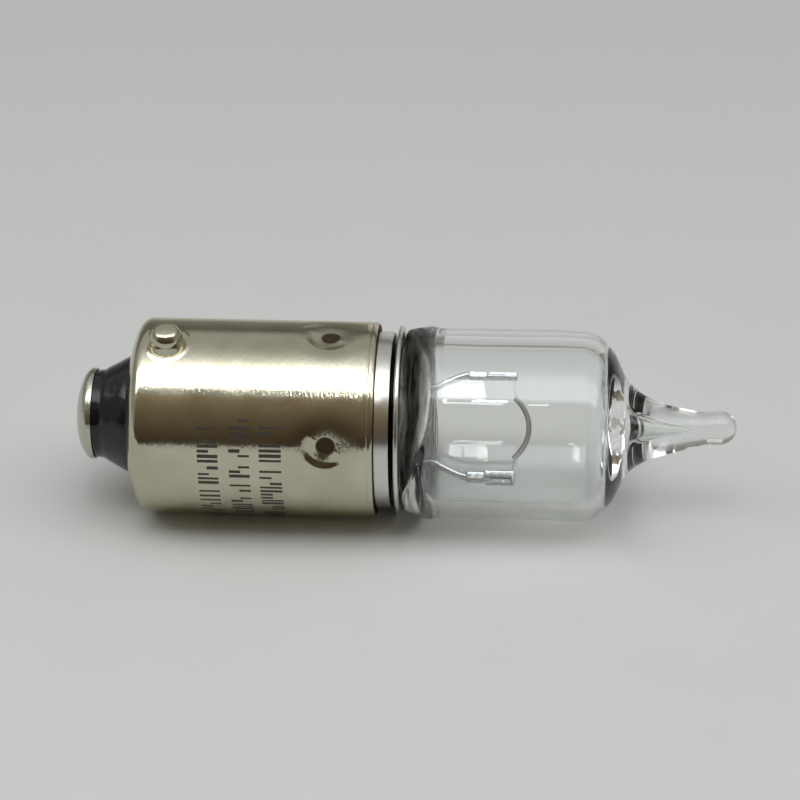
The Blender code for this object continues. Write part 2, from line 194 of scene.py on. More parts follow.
def crowded(low, high, coarse, fine, centres, reach, period=None):
    """Places from low to high whose spacing falls from coarse to fine within reach of the centres: the
    running sum of 1 / spacing, read back at equal steps."""
    t = np.linspace(low, high, 20000)
    away = np.abs(t[:, None] - np.asarray(centres, float)[None, :])
    away = np.minimum(away, period - away) if period else away
    near = np.exp(-(away / reach) ** 4).max(axis=1)
    total = np.cumsum((1 - near) / coarse + near / fine) * (t[1] - t[0])
    return np.interp(np.linspace(total[0], total[-1], int(total[-1])), total, t)


def turned(profile, angles):
    """Rings round the lamp axis: the point at angle a is (x, r cos a, r sin a) for each (x, r)."""
    x, r = np.asarray(profile, float).T[:, :, None]
    a = np.radians(angles)[None, :]
    return np.stack([x + 0 * a, r * np.cos(a), r * np.sin(a)], axis=-1)


def skin(rings, start=None, end=None):
    """Points and outward faces over a stack of closed rings. A start and an end point close the stack
    with fans, and without them its last ring joins the first."""
    m, n = rings.shape[:2]
    index = np.arange(m * n).reshape(m, n)
    lower, upper = (index, np.roll(index, -1, 0)) if start is None else (index[:-1], index[1:])
    quads = np.stack([lower, np.roll(lower, -1, 1), np.roll(upper, -1, 1), upper], -1).reshape(-1, 4)
    if start is None:
        return rings.reshape(-1, 3), [quads]
    hub = np.full(n, m * n)
    fans = [
        np.stack([hub, np.roll(index[0], -1), index[0]], -1),
        np.stack([hub + 1, index[-1], np.roll(index[-1], -1)], -1),
    ]
    return np.vstack([rings.reshape(-1, 3), start, end]), [quads, *fans]


def shaped(name, points, faces, material):
    """A smooth-shaded mesh object from points in mm."""
    mesh = bpy.data.meshes.new(name)
    mesh.from_pydata((points * MM).tolist(), [], faces)
    mesh.materials.append(material)
    mesh.shade_smooth()
    made = bpy.data.objects.new(name, mesh)
    bpy.context.scene.collection.objects.link(made)
    return made


def piece(name, skins, material, nodes, crease=35):
    """One mesh piece of the lamp from its skins, in mm, riding on the lamp's body in place of CAD nodes."""
    points, faces, count = [], [], 0
    for skin_points, blocks in skins:
        points.append(skin_points)
        for block in blocks:
            faces += (block + count).tolist()
        count += len(skin_points)
    made = shaped(name, np.vstack(points), faces, material)
    made.data.set_sharp_from_angle(angle=np.radians(crease))
    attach(made, "root")
    if nodes:
        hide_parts(*nodes)
    return made


def apart(x, angle, centre_x, centre_angle):
    """The distance over the shell's wall from a centre, with the angle's difference taken round the circle."""
    turn = np.radians((angle - centre_angle + 180) % 360 - 180)
    return np.hypot(x - centre_x, shell_radius * turn)


def bowl(distance, radius, power):
    """A round hollow of depth 1: (1 - (d / radius)^2)^power, and 0 outside the radius."""
    return np.clip(1 - (distance / radius) ** 2, 0, 1) ** power


def step(value, low, high):
    """0 up to low and 1 from high, with 3t^2 - 2t^3 between them."""
    t = np.clip((value - low) / (high - low), 0, 1)
    return t * t * (3 - 2 * t)


def shell_relief(x, angle):
    """The wall's height over its cylinder, and how burnt it is: a dish with a raised lip round each pin, and
    at each weld a wide shallow dent, the weld's own pit and the round imprint of an electrode that was held
    at a slant, so that it only bit on one side."""
    height, weld_burn_and_shade = 0 * x, 0 * x
    for pin_angle in pin_angles:
        d = apart(x, angle, 0, pin_angle)
        height -= DISH_DEPTH * (1 - step(d, *DISH_FLOOR_EDGE))
        height += DISH_LIP * np.exp(-((d - DISH_RADIUS) / DISH_LIP_WIDTH) ** 2)
    for weld_angle in WELD_ANGLES:
        d = apart(x, angle, WELD_X, weld_angle)
        past_weld = shell_radius * np.radians((angle - weld_angle + 180) % 360 - 180)
        slant = (past_weld - IMPRINT_SLANT * (x - WELD_X)) / (IMPRINT_SLANT_LENGTH * np.maximum(d, 0.1))
        imprint = np.clip(slant, 0, 1) * (1 - step(d, *IMPRINT_EDGE))
        pit = 1 - step(d, *WELD_EDGE)
        height -= DENT_DEPTH * bowl(d, DENT_RADIUS, DENT_POWER) + IMPRINT_DEPTH * imprint + WELD_DEPTH * pit
        weld_burn_and_shade = np.maximum(weld_burn_and_shade, 1 - step(d, *BURN_EDGE))
    return height, weld_burn_and_shade


nickel = nickel_plated_brass()
busy_angles = [*np.mod(pin_angles, 360), *WELD_ANGLES]
angles = crowded(0, 360, *ANGLE_STEPS, busy_angles, ANGLE_REACH, period=360)[:-1]
wall_start, wall_end = shell_back + CORNER_LENGTH, shell_rim - RIM_LENGTH
wall_x = crowded(wall_start, wall_end, *LENGTH_STEPS, [0, WELD_X], LENGTH_REACH)
back = flowing([
    (shell_back + 0.02, MOUTH_RADIUS + 0.03), (shell_back + 0.08, 3.2), (shell_back + 0.24, 3.76),
    (shell_back + 0.43, 4.24), (shell_back + 0.62, 4.48), (shell_back + 0.85, 4.59), (wall_start, shell_radius),
], 6)[:-1]
wall = np.stack([wall_x, np.full_like(wall_x, shell_radius)], 1)
rim = shell_radius + np.array([-0.02, -0.03, -0.005, 0.0, -0.012, -0.06, -0.13, -0.3, -SHELL_WALL])
rim_x = shell_rim - np.array([0.33, 0.285, 0.25, 0.2, 0.11, 0.03, 0.0, 0.0, 0.05])
inner = [
    (shell_rim - 3, shell_radius - SHELL_WALL), (wall_start, shell_radius - SHELL_WALL),
    (shell_back + 0.7, shell_radius - 0.62), (shell_back + SHELL_WALL, shell_radius - 1.0),
    (shell_back + SHELL_WALL - 0.02, MOUTH_RADIUS), (shell_back + 0.04, MOUTH_RADIUS),
]
rings = turned(np.vstack([back, wall, np.stack([rim_x, rim], 1), inner]), angles)
outer = slice(len(back), len(back) + len(wall))
height, weld_burn_and_shade = shell_relief(rings[outer, :, 0], angles[None, :] + 0 * rings[outer, :, 0])
rings[outer, :, 1:] *= (1 + height / shell_radius)[..., None]
shell = piece("shell", [skin(rings)], nickel, ["cap_shell"])
rim_end = len(back) + len(wall) + len(rim) - 3
burn_and_rim_shade = np.zeros(rings.shape[:2])
burn_and_rim_shade[outer] = weld_burn_and_shade
# Painted shade: the rim's cut end is painted fully dark for the narrow gap between the rim and the sleeve.
burn_and_rim_shade[rim_end:rim_end + 3] = 1
shell.data.attributes.new("weld_burn_and_shade", "FLOAT", "POINT").data.foreach_set("value", burn_and_rim_shade.ravel())


# Bayonet pins: two headed brass pins, pushed out through the shell, upset on the inside and plated
# with it. Each spreads a little at its foot, stands in its dish and narrows to a nearly flat top.
pin_mount = next(m for m in frame["record"]["mounts"] if m["name"] == "upper_pin_end")
pin_end = np.linalg.norm(pin_mount["pos_m"]) / MM
PIN_RADIUS = 0.76
PIN_HEAD_RADIUS = 1.1
PIN_HEAD_X = (3.7, 4.0)
EVEN_ANGLES = np.arange(0, 360, 3.75)


def standing(rings, angle):
    """Rings made along the lamp axis, turned to stand out from it at an angle: their axis becomes the
    radial direction, their first side the lamp axis and their second side the cross product of the two."""
    a = np.radians(angle)
    outward = np.array([0, np.cos(a), np.sin(a)])
    along = np.array([1.0, 0, 0])
    return rings @ np.stack([outward, along, np.cross(outward, along)])


pin_head = [
    (PIN_HEAD_X[0], PIN_HEAD_RADIUS * 0.5), (PIN_HEAD_X[0], PIN_HEAD_RADIUS - 0.05),
    (PIN_HEAD_X[0] + 0.06, PIN_HEAD_RADIUS), (PIN_HEAD_X[1] - 0.06, PIN_HEAD_RADIUS),
    (PIN_HEAD_X[1], PIN_HEAD_RADIUS - 0.05), (PIN_HEAD_X[1], PIN_RADIUS),
]
pin_foot = [(4.35, PIN_RADIUS), (4.5, PIN_RADIUS + 0.11), (4.64, PIN_RADIUS + 0.05)]
pin_top = flowing([
    (4.8, PIN_RADIUS), (pin_end - 0.48, 0.74), (pin_end - 0.33, 0.69), (pin_end - 0.19, 0.61),
    (pin_end - 0.1, 0.53), (pin_end - 0.05, 0.43), (pin_end - 0.025, 0.3), (pin_end - 0.008, 0.16),
    (pin_end, 0.05),
], 5)
pin_profile = np.vstack([pin_head, pin_foot, pin_top])
for pin_name, pin_angle in zip(("upper", "rear"), pin_angles):
    rings = standing(turned(pin_profile, EVEN_ANGLES), pin_angle)
    ends = standing(np.array([[(PIN_HEAD_X[0], 0, 0)], [(pin_end, 0, 0)]], float), pin_angle)[:, 0]
    piece(f"pin_{pin_name}", [skin(rings, *ends)], nickel, [f"bayonet_pin_{pin_name}"])


# Insulator: black glass run molten into the back of the shell, which holds the contact plate away
# from the shell. Its skin is fire-polished, with a slightly wavy cone.
nose_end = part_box("insulator")[0].x / MM
inner_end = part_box("insulator")[1].x / MM
BORE_RADIUS = 0.5
SEAT_THICKNESS = 0.42
HOLLOW_RADIUS = 2.9


def black_insulating_glass():
    """Opaque black glass with a fire-polished skin: sharp but wavy reflections and a few dull spots of
    dust."""
    values = {"Base Color": linear("#08090c"), "IOR": 1.5}
    material, shader, place = new_material("black insulating glass", values)
    waves = noise(material, place, 0.7, 2.0)
    dust = noise(material, place, 0.25, 4.0)
    dull = ranged(material, dust, (0.14, 0.3), (0.45, 0.75))
    dress(material, shader, roughness=dull, height=waves, depth=0.03)
    return material


cone = flowing([
    (nose_end, 1.95), (nose_end + 0.06, 2.03), (nose_end + 0.35, 2.07), (nose_end + 0.6, 2.12),
    (nose_end + 0.8, 2.24), (nose_end + 1.1, 2.4), (shell_back - 0.25, 2.71),
    (shell_back + 0.05, MOUTH_RADIUS - 0.02),
], 6)
seat_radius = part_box("insulator")[1].z / MM
seat = shell_back + SHELL_WALL + 0.03
inside = [
    (seat, MOUTH_RADIUS - 0.03), (seat, seat_radius), (seat + SEAT_THICKNESS, seat_radius),
    (seat + SEAT_THICKNESS, HOLLOW_RADIUS), (inner_end - 0.1, HOLLOW_RADIUS),
    (inner_end, HOLLOW_RADIUS - 0.1), (inner_end, BORE_RADIUS), (nose_end, BORE_RADIUS),
]
piece("insulator_glass", [skin(turned(np.vstack([cone, inside]), EVEN_ANGLES))],
      black_insulating_glass(), ["insulator"])


# Contact plate: a plated brass disc with an eyelet, set into the nose of the insulator before the
# glass hardens.
plate_back, plate_end = (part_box("contact_plate")[i].x / MM for i in (0, 1))
plate_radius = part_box("contact_plate")[1].z / MM
EYELET = (0.34, 0.46)
PLATE_THICKNESS = 0.2
plate_seat = plate_back + PLATE_THICKNESS
plate_profile = [
    (plate_back, EYELET[0]), (plate_back, plate_radius - 0.05), (plate_back + 0.05, plate_radius),
    (plate_seat - 0.05, plate_radius), (plate_seat, plate_radius - 0.05), (plate_seat, EYELET[1]),
    (plate_end, EYELET[1]), (plate_end, EYELET[0]),
]
skins = [skin(turned(plate_profile, EVEN_ANGLES))]
piece("contact_disc", skins, nickel, ["contact_plate"])


# Contact solder: a drop of tin solder over the end of the lead. It wets the whole plate, laps over the
# plate's edge onto the nose of the insulator and sets as a dome that leans a little.
dome_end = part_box("contact_solder")[0].x / MM
SOLDER_GAP = 0.01
SOLDER_RUN = 0.22
SOLDER_RADIUS = 2.17
SOLDER_LEAN = 0.02
SOLDER_LEAN_ANGLE = 70


def tin_solder():
    """Set tin solder: pale silver with a hint of green-yellow, a faint frosted crystal pattern and
    smooth hollows where it shrank."""
    material, shader, place = new_material("tin solder", {"Metallic": 1.0})
    frost = add(material, "ShaderNodeTexVoronoi", {"Vector": place, "Scale": 1 / (0.18 * MM)}).outputs[0]
    hollows = noise(material, place, 0.8, 2.0)
    colour = blended(material, hollows, linear("#b0b2a3"), linear("#cccdc1"))
    height = product(material, frost, 0.06, hollows)
    dress(material, shader, colour, ranged(material, frost, (0.16, 0.3)), height, 0.05)
    return material


dome_seat = plate_back - SOLDER_GAP
wetted = plate_radius + SOLDER_GAP
widest = plate_seat + 0.5 * SOLDER_RUN
dome_turn = np.radians(np.linspace(4, 90, 24))
dome_top = np.stack([
    widest - (widest - dome_end) * np.cos(dome_turn), SOLDER_RADIUS * np.sin(dome_turn),
], 1)
dome_under = [
    (plate_seat + SOLDER_RUN, SOLDER_RADIUS - 0.02), (plate_seat + SOLDER_RUN, 2.1), (plate_seat + 0.06, 2.06),
    (plate_seat, wetted), (dome_seat + 0.06, wetted), (dome_seat, wetted - 0.07), (dome_seat, 1.0),
]
rings = turned(np.vstack([dome_top, dome_under]), EVEN_ANGLES)
lean = np.cos(np.radians(EVEN_ANGLES - SOLDER_LEAN_ANGLE)) * np.sin(np.pi * dome_top[:, 1] / wetted)[:, None]
rings[:len(dome_top), :, 0] += SOLDER_LEAN * lean
skins = [skin(rings, (dome_end, 0, 0), (dome_seat, 0, 0))]
piece("solder_dome", skins, tin_solder(), ["contact_solder"])


# Holder sleeve: a short tube of bright steel strip, slid over the collar and welded inside the shell,
# so that its last stretch shows past the shell's rim.
sleeve_x = [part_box("holder_sleeve")[i].x / MM for i in (0, 1)]
sleeve_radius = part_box("holder_sleeve")[1].z / MM
SLEEVE_WALL = 0.24


def pressed_steel():
    """Bright stainless strip with a satin skin: fine rolling lines round the tube and slightly duller
    patches. The narrow grooves are painted near black as painted shade."""
    material, shader, place = new_material("pressed stainless steel", {"Metallic": 1.0})
    lines = noise(material, stretched(material, place, (1, 0.08, 0.08)), 0.05, 3.0)
    patches = noise(material, place, 1.2, 3.0)
    clean = blended(material, patches, linear("#cbcac3"), linear("#dddcd6"))
    # Marked rows are painted near black: painted shade in the narrow grooves.
    colour = blended(material, marked(material, "painted_shade"), clean, linear("#0d0b09"))
    dress(material, shader, colour, ranged(material, patches, (0.16, 0.3)), lines, 0.001)
    return material


steel = pressed_steel()
sleeve_inside = sleeve_radius - SLEEVE_WALL
sleeve_profile = [
    (sleeve_x[0], sleeve_inside), (sleeve_x[0], sleeve_radius), (shell_rim - 0.05, sleeve_radius),
    (shell_rim + 0.02, sleeve_radius), (shell_rim + 0.04, sleeve_radius), (sleeve_x[1] - 0.12, sleeve_radius),
    (sleeve_x[1] - 0.05, sleeve_radius - 0.02), (sleeve_x[1] - 0.01, sleeve_radius - 0.06),
    (sleeve_x[1], sleeve_radius - 0.1), (sleeve_x[1], sleeve_inside), (sleeve_x[1] - 0.5, sleeve_inside),
]


def paint_shade_rows(made, rows):
    """Marks rows of a turned piece's rings for painted shade, from the 0 or 1 given for each row."""
    values = np.repeat(np.asarray(rows, float), len(EVEN_ANGLES))
    values = np.concatenate([values, np.zeros(len(made.data.vertices) - len(values))])
    made.data.attributes.new("painted_shade", "FLOAT", "POINT").data.foreach_set("value", values)


skins = [skin(turned(sleeve_profile, EVEN_ANGLES))]
sleeve = piece("sleeve", skins, steel, ["holder_sleeve"])
# Painted shade: the sleeve is painted near black next to the shell's rim and over its end and inside, in the
# grooves at the rim and the flange.
paint_shade_rows(sleeve, (0, 0, 1, 1, 0, 0, 0, 0, 1, 1, 1))


# Holder flange: a pressed ring whose collar slides in the sleeve. Two tongues are bent in from the
# collar and spring onto the flats of the pinch, and the flange keeps the glass off the sleeve.
flange_end, flange_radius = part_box("holder_flange")[1].x / MM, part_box("holder_flange")[1].z / MM
FLANGE_THICKNESS = 0.25
COLLAR = (3.66, 3.88)
COLLAR_START = 8.2
MOUNT_ANGLE = pin_angles[1] + 90
TONGUE_HALF_WIDTH = 0.85
TONGUE_THICKNESS = 0.2
PINCH_HALF_SIZES = (3.3, 1.2)


def in_mount_frame(points):
    """Points given as (lamp axis, towards the upper lead, across) placed in the row frame."""
    a = np.radians(MOUNT_ANGLE)
    upper, across = np.array([0, np.cos(a), np.sin(a)]), np.array([0, -np.sin(a), np.cos(a)])
    p = np.asarray(points, float)
    return p[..., :1] * np.array([1.0, 0, 0]) + p[..., 1:2] * upper + p[..., 2:] * across


def strip(route, half_width, thickness, flip):
    """A bent strip: the route's (axis, height) points carried half the thickness to either side along
    the normal, and half the width to either side across it, as rings of four corners."""
    p = flowing(route, 6)
    slope = np.gradient(p, axis=0)
    normal = np.stack([-slope[:, 1], slope[:, 0]], 1) / np.linalg.norm(slope, axis=1, keepdims=True)
    corners = []
    for side, face in ((-1, -1), (1, -1), (1, 1), (-1, 1)):
        edge = p + normal * face * thickness / 2
        corners.append(np.stack([edge[:, 0], np.full(len(p), float(side * half_width)), edge[:, 1] * flip], 1))
    rings = np.stack(corners[::-flip], 1)
    return skin(in_mount_frame(rings), in_mount_frame(rings[0].mean(0)), in_mount_frame(rings[-1].mean(0)))


flange_start = flange_end - FLANGE_THICKNESS
half_round = np.radians(np.linspace(-90, 90, 9))
edge_radius = FLANGE_THICKNESS / 2
flange_edge = np.stack([
    flange_start + edge_radius * (1 + np.sin(half_round)),
    flange_radius - edge_radius * (1 - np.cos(half_round)),
], 1)
flange_profile = np.vstack([
    [(COLLAR_START, COLLAR[0]), (COLLAR_START, COLLAR[1]), (flange_start - 0.02, COLLAR[1]),
     (flange_start, COLLAR[1] + 0.02), (flange_start, flange_radius - edge_radius - 0.02)],
    flange_edge,
    [(flange_end, COLLAR[0] + 0.12), (flange_end - 0.1, COLLAR[0])],
])
tongue_route = [
    (COLLAR_START + 0.3, 3.72), (COLLAR_START - 0.2, 3.5), (7.4, 2.3), (6.9, PINCH_HALF_SIZES[1] + 0.16),
    (6.6, PINCH_HALF_SIZES[1] + 0.3),
]
skins = [skin(turned(flange_profile, EVEN_ANGLES))]
skins += [strip(tongue_route, TONGUE_HALF_WIDTH, TONGUE_THICKNESS, flip) for flip in (1, -1)]
flange = piece("flange", skins, steel, ["holder_flange"])
# Painted shade: the collar, the flange's back face and its bore are painted near black, in the groove inside
# the sleeve.
paint_shade_rows(flange, [1, 1, 1, 1, 1, *[0] * len(flange_edge), 1, 1])


# Glass envelope: one piece of hard glass tube. One end is pinched flat round the lead wires, the other
# is domed over and drawn out where the lamp was filled and sealed off. The drawn tip leans a little.
glass_start, glass_tip = (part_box("glass_envelope")[i].x / MM for i in (0, 1))
glass_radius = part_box("glass_envelope")[1].z / MM
GLASS_WALL = 0.77
PINCH_SQUARENESS = 8
PINCH_BLEND = ((10.0, 10.85), (10.95, 12.3))
PINCH_ROUND_END = 7
WRINKLE_DEPTH = 0.12
RIPPLE_DEPTH = 0.04
PRINT_END = (11.45, 12.4)
PRINT_FADE = (-0.2, 0.05)
PRINT_GAP = 0.14
PRINT_TURN = 17
FINE_ANGLES = np.arange(0, 360, 1.5)
LEAN_DIRECTION = np.array([0, 0.5, 0.866])


def clear_glass():
    """Clear hard glass, polished by the flame: smooth, with long faint waves left from drawing the
    tube. The pinch keeps the satin print of the pressing jaws, and is painted grey in streaks there:
    painted shade for the dark reflections in the pinch."""
    values = {"Transmission Weight": 1.0, "IOR": 1.5}
    material, shader, place = new_material("clear hard glass", values)
    waves = noise(material, stretched(material, place, (0.25, 1, 1)), 1.4, 1.0)
    jaw_print_and_shade = marked(material, "jaw_print_and_shade")
    streaks = noise(material, stretched(material, place, (1, 0.3, 0.3)), 0.2, 4.0)
    shade_streaks = ranged(material, streaks, start=(0.38, 0.62))
    # Painted shade: the pinch is painted grey in streaks for its dark reflections.
    painted_shade = blended(material, shade_streaks, linear("#9c9d93"), linear("#5c5d56"))
    colour = blended(material, jaw_print_and_shade, linear("#fdfefd"), painted_shade)
    dress(material, shader, colour, product(material, jaw_print_and_shade, 0.34), waves, 0.012)
    return material


def lean_of_tip(x):
    """How far the glass's middle stands off the lamp axis, as a vector: the capsule sits a hair low in
    its holder, and the drawn tip sags at its root and comes back at its end."""
    where = (10.0, 12.0, 20.4, 21.4, 22.2, 22.9, 23.6, 24.6, 25.6, 26.6)
    off = np.interp(x, where, (0.0, -0.1, -0.11, -0.13, -0.15, -0.17, -0.17, -0.12, -0.05, -0.02))
    return off[..., None] * LEAN_DIRECTION


def squared(angles, halves, power):
    """The radius at each angle of a rounded rectangle |y / a|^p + |z / b|^p = 1."""
    a = np.radians(angles)
    return (np.abs(np.cos(a) / halves[0]) ** power + np.abs(np.sin(a) / halves[1]) ** power) ** (-1 / power)


pinch_half = PINCH_HALF_SIZES[0]
outer_profile = np.vstack([
    [(glass_start, 2.9), (glass_start + 0.1, 3.15), (glass_start + 0.4, pinch_half), (7.5, pinch_half),
     (9.0, pinch_half)],
    flowing([
        (10.0, pinch_half), (10.6, 3.35), (10.84, 3.6), (10.93, 4.08), (11.05, 4.28), (11.3, 4.38),
        (11.7, 4.48), (12.2, 4.56), (12.6, glass_radius), (14, glass_radius), (16.5, glass_radius),
        (18.9, glass_radius), (19.65, 4.42), (20.08, 4.22), (20.45, 3.85), (20.82, 3.38), (21.12, 2.76),
        (21.42, 2.22), (21.9, 1.77), (22.5, 1.44), (23.3, 1.17), (24.2, 0.94), (24.9, 0.8), (25.3, 0.76),
        (25.75, 0.8), (26.1, 0.7), (26.4, 0.42), (glass_tip, 0.12),
    ], 5),
])
outer_x, outer_radius = outer_profile[:, :1], outer_profile[:, 1:]
# The pinch's flats run further up than its edges, and the glass puckers where it turns round.
rings = turned(outer_profile, FINE_ANGLES)
pinch = squared(FINE_ANGLES - MOUNT_ANGLE, PINCH_HALF_SIZES, PINCH_SQUARENESS)[None, :]
flatness = np.sin(np.radians(FINE_ANGLES - MOUNT_ANGLE))[None, :] ** 2
round_share = step(outer_x, *(edge + (flat - edge) * flatness for edge, flat in PINCH_BLEND))
end_round = (outer_radius / pinch_half - 1) * (outer_x < PINCH_ROUND_END)
radius = (1 - round_share) * pinch * (1 + end_round) + round_share * outer_radius
wrinkle = np.sin(np.radians(FINE_ANGLES * 7)[None, :] + 5 * outer_x) + np.sin(11 * outer_x)
radius += WRINKLE_DEPTH * wrinkle * round_share * (1 - round_share)
rings[..., 1:] *= (radius / outer_radius)[..., None]
rings += lean_of_tip(outer_profile[:, 0])[:, None, :]
tip_point = np.array([glass_tip + 0.01, 0, 0]) + lean_of_tip(np.array(glass_tip))
outside = skin(rings, (glass_start, 0, 0), tip_point)
inside_radius = glass_radius - GLASS_WALL
cavity_profile = flowing([
    (24.3, 0.05), (23.9, 0.1), (23.1, 0.22), (22.3, 0.36), (21.6, 0.5), (21.0, 0.65), (20.56, 0.95),
    (20.38, 1.5), (20.3, 2.2), (20.21, 2.85), (20.03, 3.3), (19.7, 3.6), (19.2, inside_radius),
    (16.5, inside_radius), (12.5, inside_radius), (12.12, 3.7), (11.93, 3.5), (11.8, 3.2), (11.7, 2.7),
    (11.63, 1.5), (11.6, 0.4),
], 5)
# The pinching leaves the bottom of the hollow a little uneven.
rings = turned(cavity_profile, FINE_ANGLES)
ripple = np.sin(np.radians(FINE_ANGLES * 5 + 40)) + 0.6 * np.sin(np.radians(FINE_ANGLES * 11))
on_bottom = (1 - step(cavity_profile[:, :1], 11.9, 12.5)) * step(cavity_profile[:, 1:], 0.4, 2.0)
rings[..., 0] += RIPPLE_DEPTH * ripple[None, :] * on_bottom
rings += lean_of_tip(cavity_profile[:, 0])[:, None, :]
cavity_end = np.array([24.36, 0, 0])
hollow = skin(rings, cavity_end + lean_of_tip(cavity_end[0]), (11.59, 0, 0))
glass = piece("glass_bulb", [outside, hollow], clear_glass(), ["glass_envelope"], crease=60)
# The jaws' print reaches further up on the flats, and a clear seam is left at either edge.
jaw_share = np.sin(np.radians(FINE_ANGLES - MOUNT_ANGLE + PRINT_TURN)) ** 2
print_end = PRINT_END[0] + (PRINT_END[1] - PRINT_END[0]) * jaw_share
# The same mask paints the pinch grey as painted shade.
jaw_print_and_shade = np.zeros(len(glass.data.vertices))
print_strength = 1 - step(outer_x, print_end + PRINT_FADE[0], print_end + PRINT_FADE[1])
jaw_print_and_shade[:round_share.size] = (print_strength * step(jaw_share, 0.0, PRINT_GAP)).ravel()
glass.data.attributes.new("jaw_print_and_shade", "FLOAT", "POINT").data.foreach_set("value", jaw_print_and_shade)


# Lead wires: two molybdenum wires fused into the pinch. Inside the bulb each bends outwards to its
# clamp.
MOUNT_SHIFT = -0.17
LEAD_RADIUS = 0.17
LEAD_SPACING = 1.85
CLAMP_OFFSET = 2.5
lead_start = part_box("lead_wire_upper")[0].x / MM


def molybdenum():
    """Drawn molybdenum: a cool grey metal with fine die lines along the wire and darker stains."""
    material, shader, place = new_material("drawn molybdenum", {"Metallic": 1.0})
    stains = noise(material, place, 0.35, 4.0)
    lines = noise(material, stretched(material, place, (0.1, 1, 1)), 0.05, 2.0)
    colour = blended(material, stains, linear("#a3a8ae"), linear("#d9dcdf"))
    dress(material, shader, colour, ranged(material, stains, (0.2, 0.42)), lines, 0.004)
    return material


def wire(path, radius, toward, sides=20):
    """A round wire: circles of a radius about each point of the path, in the plane square to it, turned
    so that they start from the given direction. One smaller circle past each end rounds it off."""
    path = np.asarray(path, float)
    tangent = np.gradient(path, axis=0)
    tangent /= np.linalg.norm(tangent, axis=1, keepdims=True)
    toward = np.broadcast_to(np.asarray(toward, float), path.shape)
    first = toward - (toward * tangent).sum(1, keepdims=True) * tangent
    first /= np.linalg.norm(first, axis=1, keepdims=True)
    second = np.cross(tangent, first)
    a = np.radians(np.arange(sides) * 360 / sides)[None, :, None]
    rings = path[:, None, :] + radius * (np.cos(a) * first[:, None, :] + np.sin(a) * second[:, None, :])
    start = rings[:1] * 0.6 + path[:1, None, :] * 0.4 - tangent[:1, None, :] * radius * 0.4
    end = rings[-1:] * 0.6 + path[-1:, None, :] * 0.4 + tangent[-1:, None, :] * radius * 0.4
    hubs = path[0] - tangent[0] * radius * 0.5, path[-1] + tangent[-1] * radius * 0.5
    return skin(np.vstack([start, rings, end]), *hubs)


def mount_route(points, side):
    """A smooth route of (lamp axis, height) points in the mount plane, on the upper or the lower side."""
    p = flowing(points, 8)
    return in_mount_frame(np.stack([p[:, 0], side * p[:, 1] + MOUNT_SHIFT, 0 * p[:, 0]], 1))


moly = molybdenum()
ACROSS = in_mount_frame((0, 0, 1))
lead_route = [
    (lead_start + 0.1, LEAD_SPACING), (8.5, LEAD_SPACING), (12.0, LEAD_SPACING), (12.4, LEAD_SPACING + 0.05),
    (13.7, CLAMP_OFFSET - 0.05), (14.1, CLAMP_OFFSET), (15.0, CLAMP_OFFSET),
]
SIDES = {"upper": 1, "lower": -1}
for side_name, side in SIDES.items():
    skins = [wire(mount_route(lead_route, side), LEAD_RADIUS, ACROSS)]
    piece(f"lead_{side_name}", skins, moly, [f"lead_wire_{side_name}"], crease=60)


# Outer leads: softer nickel wires butt-welded to the lead wires below the pinch. One runs through the
# insulator into the solder, the other is bent out and welded to the sleeve.
OUTER_LEAD_RADIUS = 0.2
contact_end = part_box("outer_lead_contact")[0].x / MM
along_sleeve = sleeve_inside - OUTER_LEAD_RADIUS - 0.03 + MOUNT_SHIFT


def nickel_wire():
    """Drawn nickel wire, annealed: warm grey and satin, with faint stains from the weld's heat."""
    values = {"Metallic": 1.0, "Roughness": 0.34}
    material, shader, place = new_material("annealed nickel wire", values)
    stains = noise(material, place, 0.6, 3.0)
    dress(material, shader, blended(material, stains, linear("#a39d90"), linear("#c4bfb3")))
    return material


soft_nickel = nickel_wire()
outer_routes = {
    "contact": (1, [
        (5.4, LEAD_SPACING), (4.5, LEAD_SPACING - 0.1), (2.9, 1.0), (1.7, 0.1 - MOUNT_SHIFT),
        (0.9, -MOUNT_SHIFT), (-2.0, -MOUNT_SHIFT), (contact_end, -MOUNT_SHIFT),
    ]),
    "shell": (-1, [
        (5.4, LEAD_SPACING), (4.7, LEAD_SPACING + 0.05), (4.2, 2.4), (4.3, 3.05),
        (4.95, along_sleeve - 0.06), (5.7, along_sleeve), (6.8, along_sleeve),
    ]),
}
for end_name, (side, route) in outer_routes.items():
    skins = [wire(mount_route(route, side), OUTER_LEAD_RADIUS, ACROSS)]
    piece(f"outer_wire_{end_name}", skins, soft_nickel, [f"outer_lead_{end_name}"], crease=60)


# Filament clamps: strips of molybdenum folded over the end of each lead wire and over one leg of the
# coil, then squeezed and welded. The fold leaves a square block, a waist and an open hook.
clamp_start, clamp_end = (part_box("filament_clamp_upper")[i].x / MM for i in (0, 1))
CLAMP_WAIST = clamp_start + 0.88
CLAMP_SQUARENESS = 5


